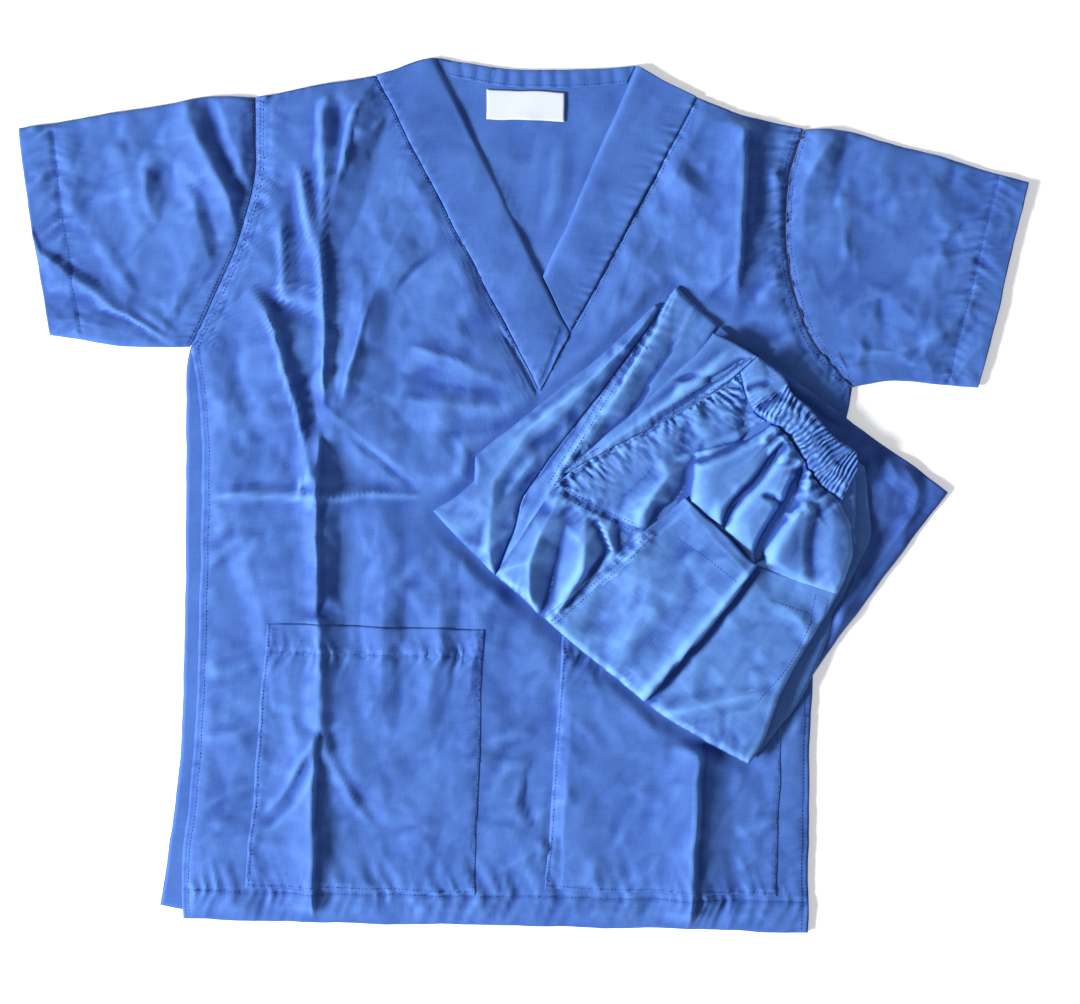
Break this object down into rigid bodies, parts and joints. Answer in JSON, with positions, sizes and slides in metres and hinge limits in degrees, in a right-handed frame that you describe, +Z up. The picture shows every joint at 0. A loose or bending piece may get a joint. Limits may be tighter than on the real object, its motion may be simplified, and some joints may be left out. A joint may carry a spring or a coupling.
{
  "type": "medical scrubs",
  "caption": "Medical scrubs laid flat, face up: a short-sleeved V-neck top with patch pockets, and its folded elastic-waist trousers lying on it.",
  "frame": {"origin": "centre of the set's footprint, on the surface it lies on", "axes": "+Z up from the surface, +Y towards the neck, +X towards the wearer's left sleeve (the side the trousers lie on)"},
  "size_m": [0.856, 0.742, 0.0258],
  "materials": {
    "scrub_poplin": "plain-weave poplin, mid blue, slight sheen",
    "label_tape": "white woven tape, blank"
  },
  "bodies": {
    "root": {"top_back": "scrub_poplin", "top_front": "scrub_poplin", "sleeve_right": "scrub_poplin", "sleeve_left": "scrub_poplin", "neck_band_right": "scrub_poplin", "neck_band_left": "scrub_poplin", "neck_facing": "scrub_poplin", "neck_label": "label_tape", "pocket_right": "scrub_poplin", "pocket_left": "scrub_poplin", "trousers_leg_end": "scrub_poplin", "trousers_leg_back": "scrub_poplin", "trousers_leg_front": "scrub_poplin", "trousers_under_leg": "scrub_poplin", "trousers_core": "scrub_poplin", "trousers_rise": "scrub_poplin", "trousers_seat": "scrub_poplin", "trousers_pocket": "scrub_poplin", "trousers_waistband": "scrub_poplin"}
  },
  "joints": []
}
